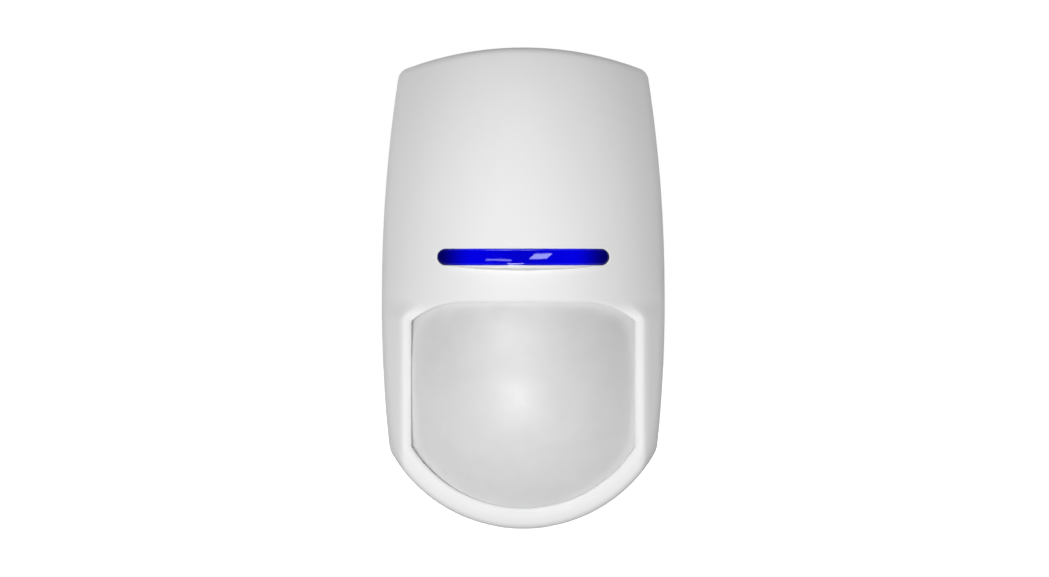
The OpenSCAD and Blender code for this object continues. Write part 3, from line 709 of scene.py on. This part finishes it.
def prism(corners, axis, start, end):
    """A closed prism: corners go round its section in the plane across the axis ("x", "up" or "out")."""
    slot = ("x", "up", "out").index(axis)
    loops = []
    for level in (start, end):
        loops.append([(*corner[:slot], level, *corner[slot:]) for corner in corners])
    return tube("prism", loops)


def disc(a, b, r, steps=48):
    turns = np.linspace(0, 2 * math.pi, steps, endpoint=False)
    return [(a + r * math.cos(t), b + r * math.sin(t)) for t in turns]


def rectangle(a0, a1, b0, b1):
    return [(a0, b0), (a1, b0), (a1, b1), (a0, b1)]


def quarter(curve, grow, r, height, steps=7, inwards=-1, start=0.0):
    """Flat rings and heights of a rounded edge of radius r on a curve; inwards is the way to the top.
    The round starts at that angle from the wall."""
    rows = []
    for angle in np.linspace(start, math.pi / 2, steps):
        flat = curve.points(grow + inwards * r * (math.cos(start) - math.cos(angle)))
        rows.append((flat, height(flat) - r * (1 - math.sin(angle))))
    return rows


def rings_beside(curve, grows, height):
    """Flat rings and heights on a surface beside a rounded edge, so that the edge stays crisp."""
    return [(curve.points(grow), height(curve.points(grow))) for grow in grows]


def cover_outside(shell):
    """The cover's outer face, from its lower edge to the edges of the lens opening and the bar's slot.
    Returns the three rings where the inner face joins it."""
    base = PARTING + SEAM
    outer = [(case_curve.points(-WALL), base), (case_curve.points(-LOWER_CHAMFER), base),
             (case_curve.points(), base + LOWER_CHAMFER)]
    outer += quarter(case_curve, 0, EDGE_R, front)
    opening = quarter(lens_curve, 0, LENS_EDGE_R, front, steps=6, inwards=1, start=LENS_EDGE_START)
    opening += rings_beside(lens_curve, (1.3, 1.7, 2.1, 2.5), front)
    slot = quarter(bar_curve, 0, SLOT_EDGE_R, front, steps=5, inwards=1)
    slot += rings_beside(bar_curve, (0.5, 0.65, 0.8, 0.95, 1.1, 1.25, 1.4, 1.6, 1.9), front)
    sets = [[shell.ring(flat, out) for flat, out in rows] for rows in (outer, opening, slot)]
    for rings in sets:
        shell.rings(rings)
    shell.fill(sets[0][-1], [sets[1][-1], sets[2][-1]], spacing=0.9, height=front)
    return [rings[0] for rings in sets]


def cover_inside(shell, lower_edge, opening_edge, slot_edge):
    """The cover's inner face, with the step round the opening that the lens lies against."""
    wall_top = case_curve.points(-WALL)
    ceiling = shell.ring(wall_top, hollow(wall_top))
    seat = lens_curve.points(SEAT_W)
    seat_top = shell.ring(seat, hollow(seat))
    seat_low = shell.ring(seat, dome(*seat.T, -SEAT_FIT))
    seat_edge = shell.ring(LENS_EDGE, dome(*LENS_EDGE.T, -SEAT_FIT))
    low = bar_curve.points()
    slot_low = shell.ring(low, pillow(*low.T, WALL))
    shell.rings([lower_edge, ceiling])
    shell.rings([seat_top, seat_low, seat_edge, opening_edge])
    shell.rings([slot_low, slot_edge])
    shell.fill(ceiling, [seat_top, slot_low], spacing=2.0, height=hollow)


def cover_shell():
    """The cover, with the hinge's bead, the lock screw's pad and their slots."""
    shell = Shell()
    cover_inside(shell, *cover_outside(shell))
    piece = shell.build("cover_shell_form", [looks["cover_plastic"]])
    base = PARTING + SEAM
    pad = rectangle(-PAD_HALF, PAD_HALF, base + 0.01, base + PAD_DEPTH)
    boolean(piece, "UNION", hinge_bead())
    boolean(piece, "UNION", prism(pad, "up", PAD_LOW, PAD_TOP))
    for cutter in [*lug_slots(), *screw_slots(), release_notch()]:
        boolean(piece, "DIFFERENCE", cutter)
    smooth(piece.data, 30)
    return piece


def lug_slots():
    """The gaps in the bead for the housing's two lugs, with the holes for their trunnions."""
    near = LUG_NEAR - LUG_GAP
    far = LUG_FAR + LUG_GAP
    deep = near - TRUNNION_LEN - LUG_GAP
    slots = []
    for s in (-1, 1):
        for r, a, b in ((GROOVE_R, near, far), (TRUNNION_HOLE_R, deep, near + 0.1)):
            slots.append(prism(disc(HINGE_UP, PARTING, r), "x", *sorted((s * a, s * b))))
    return slots


def screw_slots():
    """The slots for the lock screw's shaft and head, open towards the wall."""
    slots = []
    for r, top in ((LOCK_SLOT_R, PAD_TOP + 1), (HEAD_SLOT_R, HEAD_SEAT)):
        turns = np.linspace(0, math.pi, 25)
        section = [(r * math.cos(t), LOCK_OUT + r * math.sin(t)) for t in turns]
        section += [(-r, PARTING - 1), (r, PARTING - 1)]
        slots.append(prism(section, "up", -HALF_H - 1, top))
    return slots


def hinge_bead():
    """The bead along the top edge, with its ends rounded off by the case's outline."""
    loops = []
    for x in np.linspace(-BEAD_HALF, BEAD_HALF, 25):
        limit = HALF_H - TOP_R + root(TOP_R ** 2 - x * x) - BEAD_MARGIN
        loops.append([(x, min(up, limit), out) for up, out in disc(HINGE_UP, PARTING, BEAD_R, 32)])
    return tube("bead", loops)


def release_notch():
    """The tilted block that cuts the shallow bevel in the bottom edge."""
    low = NOTCH_H - HALF_H
    out = rim_crest(low)
    c, s = math.cos(NOTCH_TILT), math.sin(NOTCH_TILT)
    length, height = NOTCH_BLOCK
    corners = rectangle(-length, 0, 0, height)
    section = [(low + v * c - w * s, out + v * s + w * c) for v, w in corners]
    return prism(section, "x", -NOTCH_W / 2, NOTCH_W / 2)


def fresnel_lens():
    shell = Shell()
    flat = lens_curve.points(LENS_FLANGE)

    def outside(points):
        return dome(*points.T)

    def inside_face(points):
        return dome(*points.T, LENS_T)

    top = shell.ring(flat, outside(flat))
    low = shell.ring(flat, inside_face(flat))
    shell.rings([top, low])
    shell.fill(top, [], spacing=1.2, height=outside)
    shell.fill(low, [], spacing=1.6, height=inside_face, tone=1)
    return shell.build("fresnel_lens_form", [looks["lens_film"], lens_grooves("lens_grooves_look")])


def light_bar():
    """The bar: a face with rounded edges in the cover's slot, and a flange behind the cover."""
    shell = Shell()
    gap = 0.1

    def level(inset):
        return lambda points: pillow(*points.T, inset)

    back, flange, face = level(WALL + 1.2), level(WALL + 0.05), level(0.3)
    rows = rings_beside(bar_curve, (BAR_FLANGE,), back)
    rows += rings_beside(bar_curve, (BAR_FLANGE, -gap), flange)
    rows += quarter(bar_curve, -gap, BAR_EDGE_R, face, steps=6)
    rows += rings_beside(bar_curve, (-0.43, -0.5), face)
    rings = [shell.ring(flat, out) for flat, out in rows]
    shell.rings(rings)
    shell.fill(rings[-1], [], spacing=0.6, height=face)
    shell.fill(rings[0], [], spacing=1.2, height=back)
    return shell.build("light_bar_form", [looks["bar_blue"]])


def tamper_spring():
    """The spring under the plunger's cap, a closed tube along a helix."""
    low, high = span("tamper_spring")
    wire = 0.22
    turns, steps, sides = 5, 24, 10
    middle = (low + high) / 2
    r = (high[0] - low[0]) / 2 - wire
    pitch = (high[2] - low[2] - 2 * wire) / turns
    loops = []
    for i in range(turns * steps + 1):
        turn = 2 * math.pi * i / steps
        out = low[2] + wire + pitch * i / steps
        loops.append([(middle[0] + (r + across) * math.cos(turn),
                       middle[1] + (r + across) * math.sin(turn), out + along)
                      for across, along in disc(0, 0, wire, sides)])
    return tube("tamper_spring_form", loops, looks["spring_steel"])


# ---- Detail on the circuit board ----

# A chip part's tinned cap, how proud it stands, and its solder fillet and pad beyond the end
CAP = 0.35
CAP_SKIN = 0.025
FILLET = 0.4
FILLET_FOOT = 0.15
PAD = 0.55

# Tracks and pads: how deep they start in the board, how high they stand and their widths
SUNK = 0.01
TRACK_RISE = 0.045
PAD_RISE = 0.06
CHIP_TRACK_W = 0.22
POWER_TRACK_W = 0.7
VIA_HOLE_R = 0.2
VIA_R = 0.48


def islands(node):
    """The lowest and highest (x, up, out) of each separate solid of a CAD node."""
    data = NODES[node].data
    place = {}
    ids = [place.setdefault(tuple(round(c / MM, 3) for c in v.co), len(place)) for v in data.vertices]
    group = list(range(len(place)))

    def top(i):
        while group[i] != i:
            group[i] = group[group[i]]
            i = group[i]
        return i

    for face in data.polygons:
        first = top(ids[face.vertices[0]])
        for other in face.vertices[1:]:
            group[top(ids[other])] = first
    found = {}
    for (x, y, z), i in place.items():
        found.setdefault(top(i), []).append((x, z, -y))
    boxes = [(np.min(points, axis=0), np.max(points, axis=0)) for points in found.values()]
    return sorted(boxes, key=lambda box: tuple(np.round(box[0], 2)))


class Kit:
    """Collects small closed solids that make up one piece on the board."""

    DRAFT = 0.02  # how much a track narrows towards its top
    ROUND = 0.03  # how much a flat ring does

    def __init__(self):
        self.rows, self.faces = [], []

    def loft(self, bottom, top):
        """Closes the space between two loops of (x, up, out) with as many points each."""
        first, count = len(self.rows), len(bottom)
        self.rows += [*bottom, *top]
        self.faces += [tuple(range(first, first + count)),
                       tuple(range(first + 2 * count - 1, first + count - 1, -1))]
        for i in range(count):
            j = (i + 1) % count
            self.faces.append((first + i, first + j, first + count + j, first + count + i))

    def slab(self, flat, low, high, draft=0.0):
        """A plate with the outline flat, drawn in by draft at its top."""
        flat = np.array(flat)
        middle = flat.mean(0)
        away = flat - middle
        drawn = middle + away * (1 - draft / np.linalg.norm(away, axis=1)[:, None])
        self.loft([(x, up, low) for x, up in flat], [(x, up, high) for x, up in drawn])

    def track(self, path, width, low, high):
        """A flat strip along a path, with round joints."""
        for a, b in zip(path, path[1:]):
            a, b = np.array(a), np.array(b)
            across = np.array([a[1] - b[1], b[0] - a[0]]) * width / 2 / np.linalg.norm(b - a)
            self.slab([a - across, b - across, b + across, a + across], low, high, self.DRAFT)
        for point in path:
            self.slab(disc(*point, width / 2, 12), low, high, self.DRAFT)

    def ring(self, x, up, hole_r, r, low, high, steps=24):
        """A flat ring, a little narrower at its top."""
        section = [(hole_r, low), (r, low), (r - self.ROUND, high), (hole_r + self.ROUND, high)]
        first = len(self.rows)
        for t in np.linspace(0, 2 * math.pi, steps, endpoint=False):
            self.rows += [(x + q * math.cos(t), up + q * math.sin(t), out) for q, out in section]
        for i in range(steps):
            for k in range(4):
                a, b = first + 4 * i, first + 4 * ((i + 1) % steps)
                self.faces.append((a + k, a + (k + 1) % 4, b + (k + 1) % 4, b + k))

    def build(self, name, slot):
        piece = finish_mesh(name, raw_mesh(name, self.rows, self.faces), [looks[slot]], 35)
        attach(piece, "root")


def chip_ends():
    """Tinned end caps of the chip parts, each with its solder fillet running down to the pad."""
    kit = Kit()
    for low, high in islands("chip_capacitors") + islands("chip_resistors"):
        along = longer(low, high)
        for way, end in ((-1, low[along]), (1, high[along])):
            chip_end(kit, low, high, along, way, end)
    kit.build("chip_ends", "solder_tin")


def longer(low, high):
    """The number of the axis, x or up, along which a box is longer."""
    return 0 if high[0] - low[0] > high[1] - low[1] else 1


def chip_end(kit, low, high, along, way, end):
    """One cap and fillet, as sections (reach beyond the end, out) drawn from side to side."""
    height = high[2] - low[2]
    top = high[2] + CAP_SKIN
    cap = [(-CAP, BOARD_TOP), (CAP_SKIN, BOARD_TOP), (CAP_SKIN, top), (-CAP, top)]
    fillet = [(0, BOARD_TOP), (PAD, BOARD_TOP), (PAD, BOARD_TOP + 0.05), (FILLET, BOARD_TOP + 0.08),
              (FILLET_FOOT, BOARD_TOP + 0.25 * height), (0, BOARD_TOP + 0.6 * height)]
    for section, grow in ((cap, CAP_SKIN), (fillet, 0)):
        sides = []
        for side in (low[1 - along] - grow, high[1 - along] + grow):
            places = [(end + way * reach, side) for reach, _ in section]
            sides.append([(*(place if along == 0 else place[::-1]), out)
                          for place, (_, out) in zip(places, section)])
        kit.loft(*sides)


def lead_pads():
    """A tinned pad with a low solder fillet under each leg of the two chips."""
    kit = Kit()
    for low, high in islands("chip_leads"):
        grow = np.array([0.3, 0.08] if longer(low, high) == 0 else [0.08, 0.3])
        a, b = low[:2] - grow, high[:2] + grow
        kit.slab(rectangle(a[0], b[0], a[1], b[1]), BOARD_TOP - SUNK, BOARD_TOP + PAD_RISE, 0.04)
    kit.build("lead_pads", "solder_tin")


def chip_paths():
    """A track's path from each leg of the two chips: straight out, a bend to the side, and on."""
    middles = [sum(span(node))[:2] / 2 for node in ("microcontroller", "amplifier_chip")]
    paths = []
    for i, (low, high) in enumerate(islands("chip_leads")):
        spot = (low + high)[:2] / 2
        middle = min(middles, key=lambda place: np.linalg.norm(spot - place))
        along = longer(low, high)
        out, side = np.zeros(2), np.zeros(2)
        out[along] = 1 if spot[along] > middle[along] else -1
        side[1 - along] = 1 if spot[1 - along] > middle[1 - along] else -1
        first = spot + out * (0.9 + 0.45 * (i % 3))
        turn = first + (out + side) * 0.5
        paths.append([spot, first, turn, turn + out * (0.4 + 0.3 * (i % 2))])
    return paths


def terminal_paths():
    """A track's path from each terminal pin: down, a bend towards the middle, and down again."""
    paths = []
    for i, (low, high) in enumerate(islands("terminal_pins")):
        x, up = (low + high)[:2] / 2
        way = 1 if x < 0 else -1
        first = up - 5.6 - 0.5 * (i % 4)
        turn = (x + way * 1.6, first - 1.6)
        paths.append([(x, up), (x, first), turn, (turn[0], turn[1] - 2.5 - (i * 3) % 5)])
    return paths


def board_tracks():
    """Copper tracks under the solder mask, each ending in a via, and the pads round the fixings."""
    tracks, vias = Kit(), Kit()
    low, high = BOARD_TOP - SUNK, BOARD_TOP + TRACK_RISE
    for paths, width in ((chip_paths(), CHIP_TRACK_W), (terminal_paths(), POWER_TRACK_W)):
        for path in paths:
            tracks.track(path, width, low, high)
            vias.ring(*path[-1], VIA_HOLE_R, VIA_R, low, high + 0.02)
    for nodes, hole_r, r in ((("board_screws",), 1.7, 3.3), (("jumper_pins", "relay_pins"), 0.6, 0.95)):
        for node in nodes:
            for a, b in islands(node):
                vias.ring(*(a + b)[:2] / 2, hole_r, r, low, high)
    tracks.build("board_tracks", "board_laminate")
    vias.build("board_vias", "solder_tin")


def board_joints():
    """Solder cones round the wires' tails on the board's rear face."""
    kit = Kit()
    cone = [(0.55, 0.02), (0.5, -0.12), (0.2, -0.4), (0.04, -0.8)]  # beyond the wire, from the face
    nodes = ("pyro_leads", "led_leads", "relay_pins", "capacitor_leads", "terminal_pins",
             "tamper_switch_legs", "jumper_pins")
    for node in nodes:
        for a, b in islands(node):
            x, up = (a + b)[:2] / 2
            wire = (b - a)[0] / 2
            loops = [[(*place, BOARD_BACK + out) for place in disc(x, up, wire + r, 16)]
                     for r, out in cone]
            for one, other in zip(loops, loops[1:]):
                kit.loft(one, other)
    kit.build("board_joints", "solder_tin")


def dress_board():
    chip_ends()
    lead_pads()
    board_tracks()
    board_joints()


# ---- Assembly ----

def own(piece, node, body):
    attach(piece, body)
    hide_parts(node)


def replace_pieces():
    own(cover_shell(), "cover_shell", "cover")
    own(fresnel_lens(), "fresnel_lens", "cover")
    own(light_bar(), "light_bar", "cover")
    spring = tamper_spring()
    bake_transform(spring)
    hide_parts("tamper_spring")


BEVEL = 0.06
HOUSING_BEVEL = 0.15


def dress_nodes():
    """Gives each CAD node its finished material and a small bevel that catches the light."""
    for name, piece in NODES.items():
        for slot in piece.material_slots:
            slot.material = looks[slot.material.name.split(".")[0]]
        if piece.hide_render:
            continue
        weld = piece.modifiers.new("weld", "WELD")
        weld.merge_threshold = 0.002 * MM
        edge = piece.modifiers.new("edge", "BEVEL")
        edge.width = (HOUSING_BEVEL if name == "rear_housing" else BEVEL) * MM
        edge.segments = 2
        edge.limit_method = "ANGLE"
        edge.angle_limit = math.radians(35)
        shade = piece.modifiers.new("shade", "WEIGHTED_NORMAL")
        shade.keep_sharp = True
        shade.weight = 90


# ---- Scene: places in metres, angles in degrees ----

CAMERA_PLACE = (0.0003, -3.0, -0.0002)
CAMERA_LENS = 418  # a long lens from far away: the photo shows almost no perspective
CARD_DISTANCE = 2.0
SCREEN_DISTANCE = 4.0


def camera():
    data = bpy.data.cameras.new("camera")
    data.sensor_width = 36
    data.lens = CAMERA_LENS
    data.clip_end = 20
    made = bpy.data.objects.new("camera", data)
    made.location = CAMERA_PLACE
    made.rotation_euler = (math.pi / 2, 0, 0)
    bpy.context.scene.collection.objects.link(made)
    bpy.context.scene.camera = made


def floor():
    """A plain white floor just below the sensor, which gives it neither light nor a reflection."""
    made = bpy.data.meshes.new("floor")
    level = cad_low[2] - 0.0002
    corners = [(x, y, level) for x, y in rectangle(-6, 6, -6, 6)]
    made.from_pydata(corners, [], [(0, 1, 2, 3)])
    look = Look("floor_look")
    patches = look.spread(look.noise(grain_mm=300), 0, 1)
    colour = look.blend(patches, (0.9, 0.9, 0.9), (0.88, 0.88, 0.88))
    look.link(colour, look.shader.inputs["Emission Color"])
    rough = look.spread(look.noise(grain_mm=80), 0.8, 0.9)
    normal = look.relief(look.noise(grain_mm=40, detail=2), depth_mm=0.1, strength=0.1)
    look.finish(colour, rough, normal, Emission_Strength=1.2, Specular_IOR_Level=0.0)
    made.materials.append(look.material)
    piece = bpy.data.objects.new("floor", made)
    bpy.context.scene.collection.objects.link(piece)
    piece.visible_diffuse = False
    piece.visible_glossy = False
    piece.visible_shadow = False


def aim(piece, azimuth, elevation, distance):
    """Puts a light or a card at that angle round the object, facing it and out of the camera's sight.
    Azimuth 0 is the front, 90 the right."""
    a, e = math.radians(azimuth), math.radians(elevation)
    away = Vector((math.sin(a) * math.cos(e), -math.cos(a) * math.cos(e), math.sin(e)))
    piece.location = away * distance
    piece.rotation_euler = away.to_track_quat("Z", "Y").to_euler()
    piece.visible_camera = False


def panel(name, azimuth, elevation, distance, width, height, level):
    """A soft rectangular light. level is the brightness it gives a white surface that faces it."""
    data = bpy.data.lights.new(name, "AREA")
    data.shape = "RECTANGLE"
    data.size = width
    data.size_y = height
    data.energy = level * math.pi ** 2 * distance ** 2
    made = bpy.data.objects.new(name, data)
    bpy.context.scene.collection.objects.link(made)
    aim(made, azimuth, elevation, distance)
    return made


def haze(name, azimuth, elevation, level, angle=110):
    """Broad light from a whole side of the room."""
    data = bpy.data.lights.new(name, "SUN")
    data.angle = math.radians(angle)
    data.energy = level * math.pi
    made = bpy.data.objects.new(name, data)
    bpy.context.scene.collection.objects.link(made)
    aim(made, azimuth, elevation, 2.0)
    made.visible_glossy = False


def reflector(name, points, faces, level):
    """A sheet of that brightness, seen only as a reflection in glossy surfaces."""
    made = bpy.data.meshes.new(name)
    made.from_pydata(points, [], faces)
    shine = bpy.data.materials.new(name)
    shine.use_nodes = True
    shader = shine.node_tree.nodes["Principled BSDF"]
    shader.inputs["Base Color"].default_value = (0, 0, 0, 1)
    shader.inputs["Specular IOR Level"].default_value = 0
    shader.inputs["Emission Color"].default_value = (1, 1, 1, 1)
    shader.inputs["Emission Strength"].default_value = level
    made.materials.append(shine)
    piece = bpy.data.objects.new(name, made)
    bpy.context.scene.collection.objects.link(piece)
    piece.visible_camera = False
    piece.visible_diffuse = False
    piece.visible_shadow = False
    piece.visible_transmission = False
    return piece


def card(name, azimuth, elevation, width, height, lean, level):
    """A bright card that leans to the right, for one of the patches in the bar's reflection."""
    half_w, half_h, shift = (CARD_DISTANCE * math.tan(math.radians(angle / 2))
                             for angle in (width, height, lean))
    corners = [(x + (shift if y > 0 else -shift), y, 0)
               for x, y in rectangle(-half_w, half_w, -half_h, half_h)]
    aim(reflector(name, corners, [(0, 1, 2, 3)], level), azimuth, elevation, CARD_DISTANCE)


def screen(reach, low, high):
    """A black curved screen that keeps the bright room out of the reflections in the bar.
    It spans azimuths -reach to reach and elevations low to high."""
    points = []
    for azimuth in np.radians(np.linspace(-reach, reach, 25)):
        for elevation in np.radians((low, high)):
            points.append((SCREEN_DISTANCE * math.sin(azimuth), -SCREEN_DISTANCE * math.cos(azimuth),
                           SCREEN_DISTANCE * math.tan(elevation)))
    faces = [(i, i + 1, i + 3, i + 2) for i in range(0, len(points) - 2, 2)]
    reflector("screen", points, faces, 0)


# Azimuth, elevation, width, height, lean and brightness of each card
CARDS = {
    "window": (11.5, 7.7, 12, 1.5, 4, 8),
    "strip": (-16.5, 6.6, 17, 0.45, 1, 5),
    "upper_window": (-10, 40, 30, 14, 3, 14),
}
# Azimuth, elevation and level of the light from each side of the room
FILLS = {
    "front": (0, 35, 0.03),
    "below": (0, -50, 0.12),
    "right": (90, 0, 0.075),
    "left": (-90, 0, 0.085),
    "rear": (180, 60, 0.07),
}


def world():
    """A white room that is seen directly and in reflections, but gives no light of its own."""
    made = bpy.data.worlds.new("studio")
    made.use_nodes = True
    made.node_tree.nodes["Background"].inputs["Color"].default_value = (1, 1, 1, 1)
    made.node_tree.nodes["Background"].inputs["Strength"].default_value = 1.0
    bpy.context.scene.world = made
    made.cycles_visibility.diffuse = False
    made.cycles_visibility.transmission = False


def lights():
    screen(80, -2, 30)
    for name, values in CARDS.items():
        card(name, *values)
    panel("key", -5, -3, distance=2.6, width=0.5, height=0.5, level=0.8)
    for name, values in FILLS.items():
        haze("fill_" + name, *values)
    for s in (-1, 1):
        rear = panel(f"rear_{s}", s * 145, 18, distance=2.0, width=0.8, height=0.8, level=0.5)
        rear.visible_glossy = False
    world()


camera()
replace_pieces()
dress_board()
dress_nodes()
floor()
lights()
bpy.context.scene.view_settings.view_transform = "Standard"
